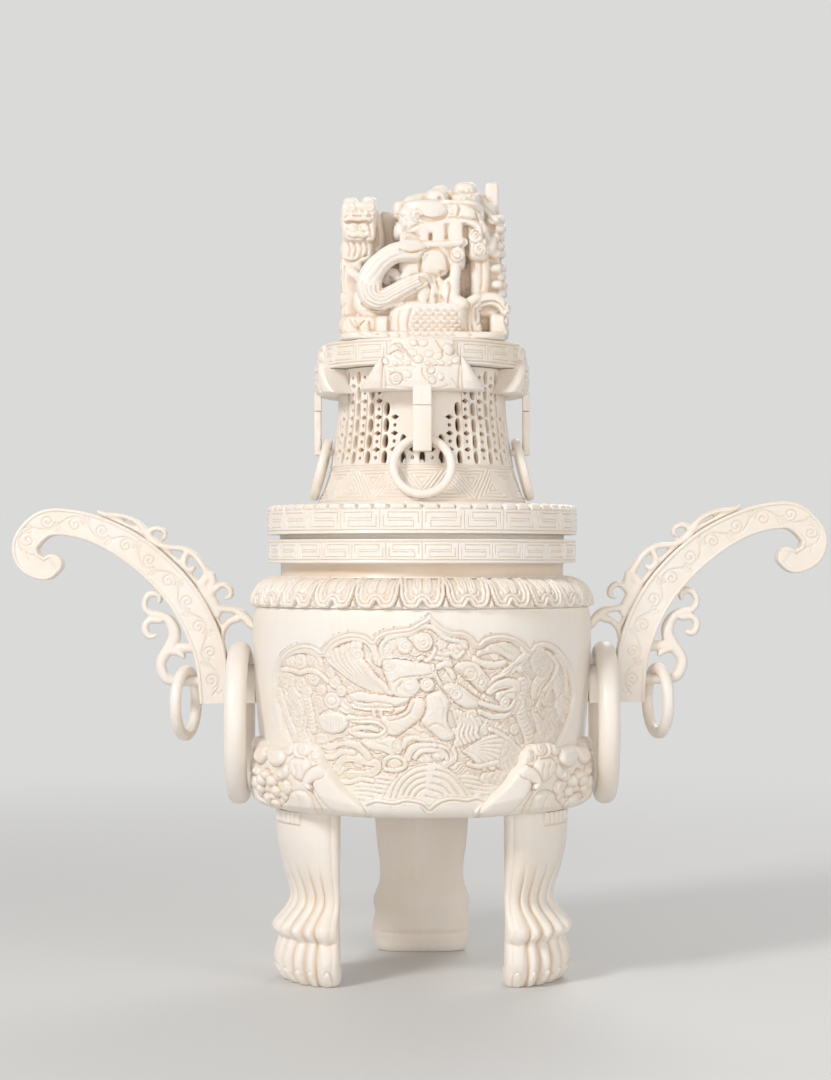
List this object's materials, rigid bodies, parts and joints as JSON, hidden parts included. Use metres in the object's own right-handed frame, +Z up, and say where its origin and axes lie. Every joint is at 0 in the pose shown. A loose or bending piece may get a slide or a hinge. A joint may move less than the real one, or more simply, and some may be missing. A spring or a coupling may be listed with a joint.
{
  "type": "carved incense burner",
  "caption": "Round carved tripod incense burner with paw feet, tall scrolled handles, loose rings and a pierced lift-off cover under a dragon finial.",
  "frame": {"origin": "on the ground, under the middle of the bowl", "axes": "+X to the right handle, -Y to the front with the carved dragon panel, +Z up"},
  "size_m": [0.3897, 0.1643, 0.377],
  "materials": {
    "polished_white": "satin",
    "carved_white": "satin",
    "peg_stock": "matte"
  },
  "bodies": {
    "burner": {"bowl": "polished_white", "bowl_floor": "carved_white", "petal_collar": "carved_white", "neck_ring": "polished_white", "rim_ring": "polished_white", "leg_front_left": "carved_white", "leg_peg_front_left": "peg_stock", "lion_mask_front_left": "carved_white", "leg_front_right": "carved_white", "leg_peg_front_right": "peg_stock", "lion_mask_front_right": "carved_white", "leg_back": "carved_white", "leg_peg_back": "peg_stock", "lion_mask_back": "carved_white", "handle_arm_left": "carved_white", "handle_tenon_left": "carved_white", "handle_pin_left": "peg_stock", "handle_vine_left": "carved_white", "handle_scroll_left": "carved_white", "handle_arm_right": "carved_white", "handle_tenon_right": "carved_white", "handle_pin_right": "peg_stock", "handle_vine_right": "carved_white", "handle_scroll_right": "carved_white"},
    "cover": {"cover_locating_ring": "carved_white", "cover_rim": "polished_white", "pierced_skirt": "carved_white", "fretted_drum": "carved_white", "finial_peg": "peg_stock", "dragon_finial": "carved_white", "cover_mask_front": "carved_white", "strap_front": "carved_white", "cover_mask_right": "carved_white", "strap_right": "carved_white", "cover_mask_back": "carved_white", "strap_back": "carved_white", "cover_mask_left": "carved_white", "strap_left": "carved_white"},
    "cover_ring_front": {"cover_ring_front": "polished_white"},
    "cover_ring_right": {"cover_ring_right": "polished_white"},
    "cover_ring_back": {"cover_ring_back": "polished_white"},
    "cover_ring_left": {"cover_ring_left": "polished_white"},
    "handle_ring_left": {"handle_ring_left": "polished_white"},
    "handle_ring_right": {"handle_ring_right": "polished_white"},
    "scroll_ring_left": {"scroll_ring_left": "polished_white"},
    "scroll_ring_right": {"scroll_ring_right": "polished_white"}
  },
  "joints": [
    {"name": "cover_lift", "type": "slide", "parent": "burner", "child": "cover", "axis": [0, 0, 1], "range_m": [0, 0.1]},
    {"name": "cover_ring_front_swing", "type": "hinge", "parent": "cover", "child": "cover_ring_front", "pos_m": [0, -0.04483, 0.2527], "axis": [-1, 0, 0], "range_deg": [0, 75]},
    {"name": "cover_ring_right_swing", "type": "hinge", "parent": "cover", "child": "cover_ring_right", "pos_m": [0.04483, 0, 0.2527], "axis": [0, -1, 0], "range_deg": [0, 75]},
    {"name": "cover_ring_back_swing", "type": "hinge", "parent": "cover", "child": "cover_ring_back", "pos_m": [0, 0.04483, 0.2527], "axis": [1, 0, 0], "range_deg": [0, 75]},
    {"name": "cover_ring_left_swing", "type": "hinge", "parent": "cover", "child": "cover_ring_left", "pos_m": [-0.04483, 0, 0.2527], "axis": [0, 1, 0], "range_deg": [0, 75]},
    {"name": "handle_ring_left_swing", "type": "hinge", "parent": "burner", "child": "handle_ring_left", "pos_m": [-0.0873, 0, 0.1406], "axis": [1, 0, 0], "range_deg": [-30, 30]},
    {"name": "handle_ring_right_swing", "type": "hinge", "parent": "burner", "child": "handle_ring_right", "pos_m": [0.0873, 0, 0.14082], "axis": [1, 0, 0], "range_deg": [-30, 30]},
    {"name": "scroll_ring_left_swing", "type": "hinge", "parent": "burner", "child": "scroll_ring_left", "pos_m": [-0.1132, 0, 0.1381], "axis": [0.9724, -0.2334, 0], "range_deg": [-35, 35]},
    {"name": "scroll_ring_right_swing", "type": "hinge", "parent": "burner", "child": "scroll_ring_right", "pos_m": [0.11315, 0, 0.13922], "axis": [0.9724, 0.2334, 0], "range_deg": [-35, 35]}
  ]
}
